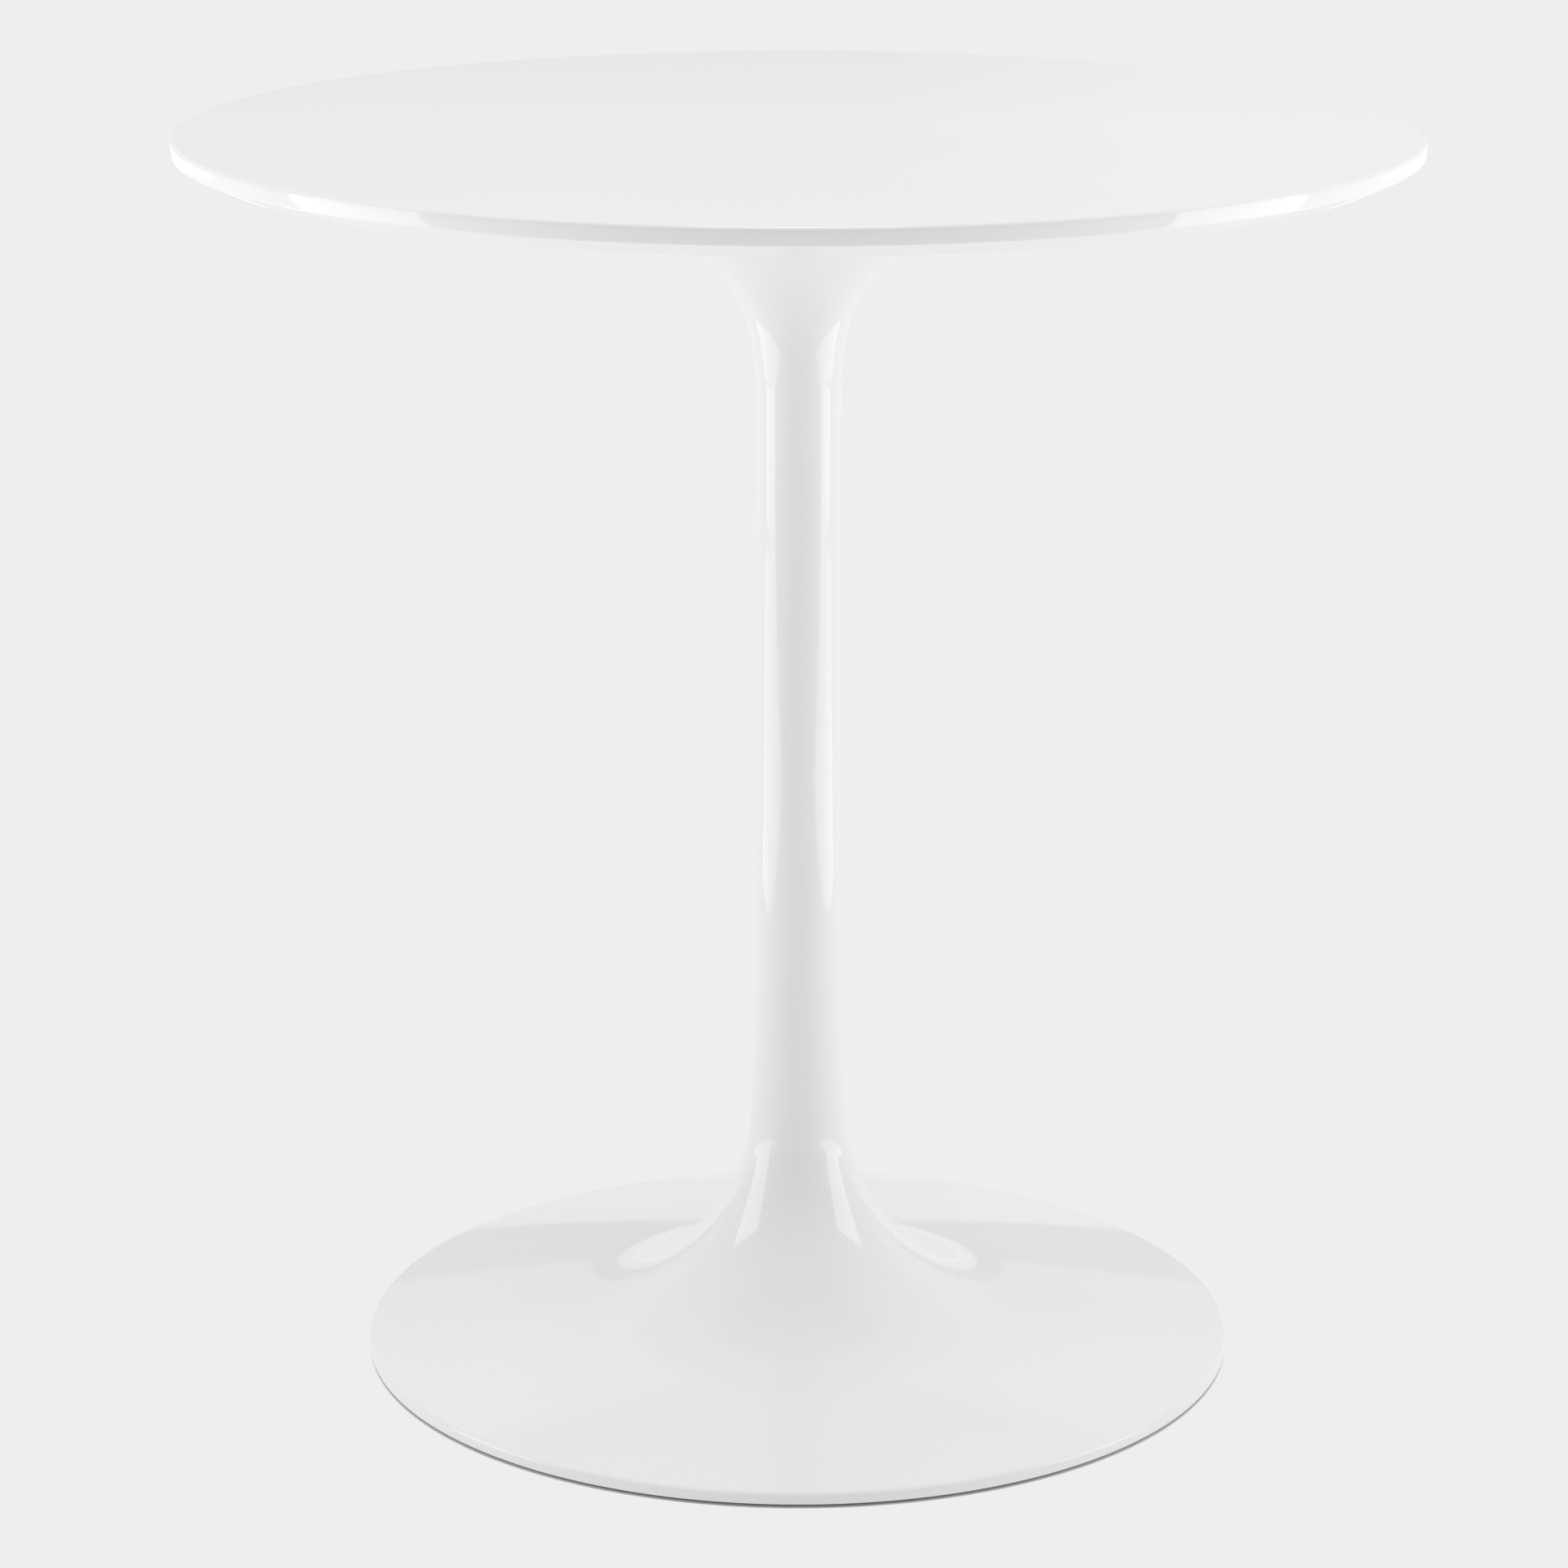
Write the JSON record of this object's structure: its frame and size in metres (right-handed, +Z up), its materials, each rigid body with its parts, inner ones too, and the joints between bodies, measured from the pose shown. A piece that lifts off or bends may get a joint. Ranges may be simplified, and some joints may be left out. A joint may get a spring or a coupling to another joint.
{
  "type": "round pedestal table",
  "caption": "Round table with a bevelled gloss-white board on a single trumpet-shaped pedestal, weighted foot and screw-in levelling glides.",
  "frame": {"origin": "on the floor, on the axis of the pedestal", "axes": "+Z up along the axis of the pedestal; X and Y along the floor, the glides at 45 degrees between them"},
  "size_m": [0.7112, 0.7112, 0.7366],
  "materials": {
    "lacquered_board": "gloss white lacquer on medium-density fibreboard",
    "lacquered_casting": "gloss white lacquer on cast aluminium",
    "zinc_steel": "bright zinc plate on steel",
    "insert_brass": "turned brass",
    "ballast_iron": "sand-cast iron with a matt black dip coat",
    "gasket_foam": "closed-cell foam rubber",
    "glide_nylon": "natural moulded nylon"
  },
  "bodies": {
    "table": {"table_top": "lacquered_board", "pedestal_shell": "lacquered_casting", "lip_gasket": "gasket_foam", "threaded_inserts": "insert_brass", "ballast_disc": "ballast_iron", "mounting_plate": "zinc_steel", "plate_bolts": "zinc_steel", "bolt_flat_washers": "zinc_steel", "bolt_spring_washers": "zinc_steel", "tie_rod": "zinc_steel", "coupling_nut": "zinc_steel", "jam_nut": "zinc_steel", "rod_nut": "zinc_steel", "rod_spring_washer": "zinc_steel", "rod_flat_washer": "zinc_steel"},
    "glide_pad_1": {"glide_pad_1": "glide_nylon"},
    "glide_stud_1": {"glide_stud_1": "zinc_steel"},
    "glide_pad_2": {"glide_pad_2": "glide_nylon"},
    "glide_stud_2": {"glide_stud_2": "zinc_steel"},
    "glide_pad_3": {"glide_pad_3": "glide_nylon"},
    "glide_stud_3": {"glide_stud_3": "zinc_steel"},
    "glide_pad_4": {"glide_pad_4": "glide_nylon"},
    "glide_stud_4": {"glide_stud_4": "zinc_steel"}
  },
  "joints": [
    {"name": "glide_1_height", "type": "slide", "parent": "table", "child": "glide_pad_1", "axis": [0, 0, 1], "range_m": [-0.003, 0.002]},
    {"name": "glide_1_turn", "type": "hinge", "parent": "glide_pad_1", "child": "glide_stud_1", "pos_m": [0.1346, 0.1346, 0.008], "axis": [0, 0, 1], "range_deg": [-864, 576]},
    {"name": "glide_2_height", "type": "slide", "parent": "table", "child": "glide_pad_2", "axis": [0, 0, 1], "range_m": [-0.003, 0.002]},
    {"name": "glide_2_turn", "type": "hinge", "parent": "glide_pad_2", "child": "glide_stud_2", "pos_m": [-0.1346, 0.1346, 0.008], "axis": [0, 0, 1], "range_deg": [-864, 576]},
    {"name": "glide_3_height", "type": "slide", "parent": "table", "child": "glide_pad_3", "axis": [0, 0, 1], "range_m": [-0.003, 0.002]},
    {"name": "glide_3_turn", "type": "hinge", "parent": "glide_pad_3", "child": "glide_stud_3", "pos_m": [-0.1346, -0.1346, 0.008], "axis": [0, 0, 1], "range_deg": [-864, 576]},
    {"name": "glide_4_height", "type": "slide", "parent": "table", "child": "glide_pad_4", "axis": [0, 0, 1], "range_m": [-0.003, 0.002]},
    {"name": "glide_4_turn", "type": "hinge", "parent": "glide_pad_4", "child": "glide_stud_4", "pos_m": [0.1346, -0.1346, 0.008], "axis": [0, 0, 1], "range_deg": [-864, 576]}
  ],
  "couplings": [
    {"joint": "glide_1_turn", "follows": "glide_1_height", "rad_per_m": 5026.5},
    {"joint": "glide_2_turn", "follows": "glide_2_height", "rad_per_m": 5026.5},
    {"joint": "glide_3_turn", "follows": "glide_3_height", "rad_per_m": 5026.5},
    {"joint": "glide_4_turn", "follows": "glide_4_height", "rad_per_m": 5026.5}
  ]
}
